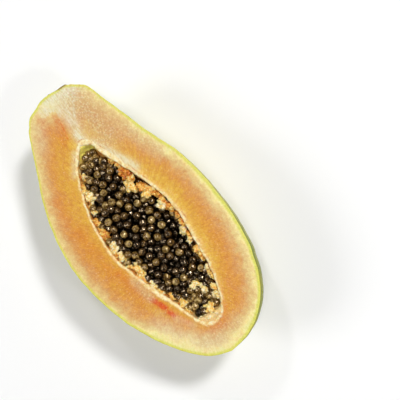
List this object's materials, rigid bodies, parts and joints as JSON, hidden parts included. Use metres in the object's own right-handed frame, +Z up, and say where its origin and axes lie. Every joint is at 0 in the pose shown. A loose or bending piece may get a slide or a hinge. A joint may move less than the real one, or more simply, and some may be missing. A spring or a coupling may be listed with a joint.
{
  "type": "papaya half",
  "caption": "Half of a ripe papaya, cut lengthwise, lying on its skin with the cut face up and dark seeds heaped in its cavity.",
  "frame": {"origin": "on the resting surface, under the middle of the fruit's length and width", "axes": "+X from the stem end to the blossom end, +Z up, square to the cut face"},
  "size_m": [0.2241, 0.1168, 0.054],
  "materials": {
    "fruit": "moist cut flesh, peach to pale yellow, inside a smooth green and yellow skin",
    "seed": "wet dark olive brown seed coat",
    "seed_heap": "wet dark seeds packed together"
  },
  "bodies": {
    "root": {"papaya_half": "fruit", "seed_bed": "seed_heap", "seed_01": "seed", "seed_02": "seed", "seed_03": "seed", "seed_04": "seed", "seed_05": "seed", "seed_06": "seed", "seed_07": "seed", "seed_08": "seed", "seed_09": "seed", "seed_10": "seed", "seed_11": "seed", "seed_12": "seed", "seed_13": "seed", "seed_14": "seed", "seed_15": "seed", "seed_16": "seed", "seed_17": "seed", "seed_18": "seed", "seed_19": "seed", "seed_20": "seed", "seed_21": "seed", "seed_22": "seed", "seed_23": "seed", "seed_24": "seed", "seed_25": "seed", "seed_26": "seed", "seed_27": "seed", "seed_28": "seed", "seed_29": "seed", "seed_30": "seed", "seed_31": "seed", "seed_32": "seed", "seed_33": "seed", "seed_34": "seed", "seed_35": "seed", "seed_36": "seed", "seed_37": "seed", "seed_38": "seed", "seed_39": "seed", "seed_40": "seed", "seed_41": "seed", "seed_42": "seed", "seed_43": "seed", "seed_44": "seed", "seed_45": "seed", "seed_46": "seed", "seed_47": "seed", "seed_48": "seed", "seed_49": "seed", "seed_50": "seed", "seed_51": "seed", "seed_52": "seed", "seed_53": "seed", "seed_54": "seed", "seed_55": "seed", "seed_56": "seed"}
  },
  "joints": []
}
